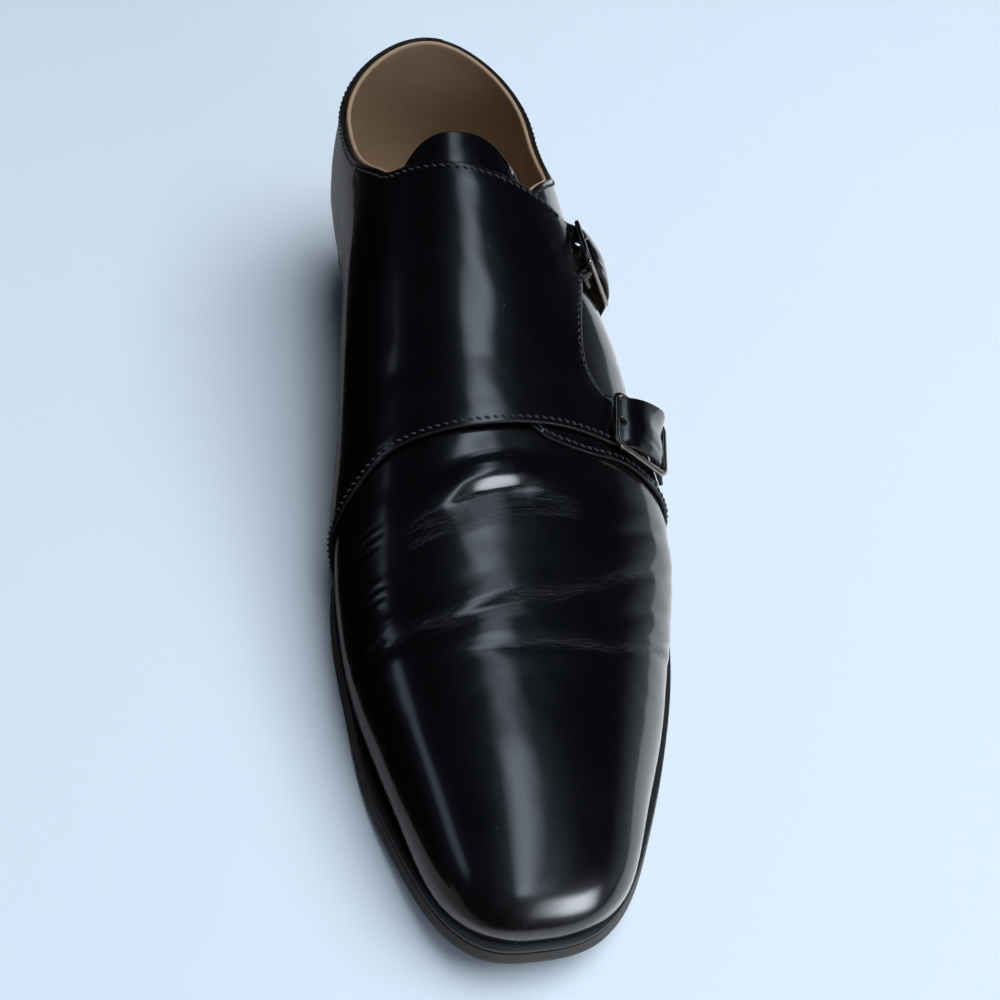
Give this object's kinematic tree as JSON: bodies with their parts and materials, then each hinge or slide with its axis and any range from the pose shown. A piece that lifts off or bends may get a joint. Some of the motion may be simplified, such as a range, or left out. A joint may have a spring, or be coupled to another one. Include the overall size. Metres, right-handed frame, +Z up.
{
  "type": "double monk strap shoe",
  "caption": "Plain-toe leather double monk strap shoe for the left foot: hollow lasted upper with two buckled straps, welted sole and stacked heel.",
  "frame": {"origin": "on the ground, under the centre of the shoe's bounding box", "axes": "-Y towards the toe, +X towards the outer side of the foot, +Z up"},
  "size_m": [0.109, 0.3112, 0.1073],
  "materials": {
    "upper_leather": "polished",
    "sole_edge": "satin",
    "top_lift_rubber": "matte",
    "insole_leather": "matte",
    "buckle_metal": "polished"
  },
  "bodies": {
    "root": {"outsole": "sole_edge", "welt": "sole_edge", "heel_stack": "sole_edge", "heel_top_lift": "top_lift_rubber", "insole": "insole_leather", "upper": "upper_leather", "tongue": "upper_leather", "outer_quarter": "upper_leather", "inner_quarter": "upper_leather", "buckle_front": "buckle_metal", "buckle_rear": "buckle_metal", "prong_front": "buckle_metal", "prong_rear": "buckle_metal", "buckle_tab_front": "upper_leather", "buckle_tab_rear": "upper_leather"}
  },
  "joints": []
}
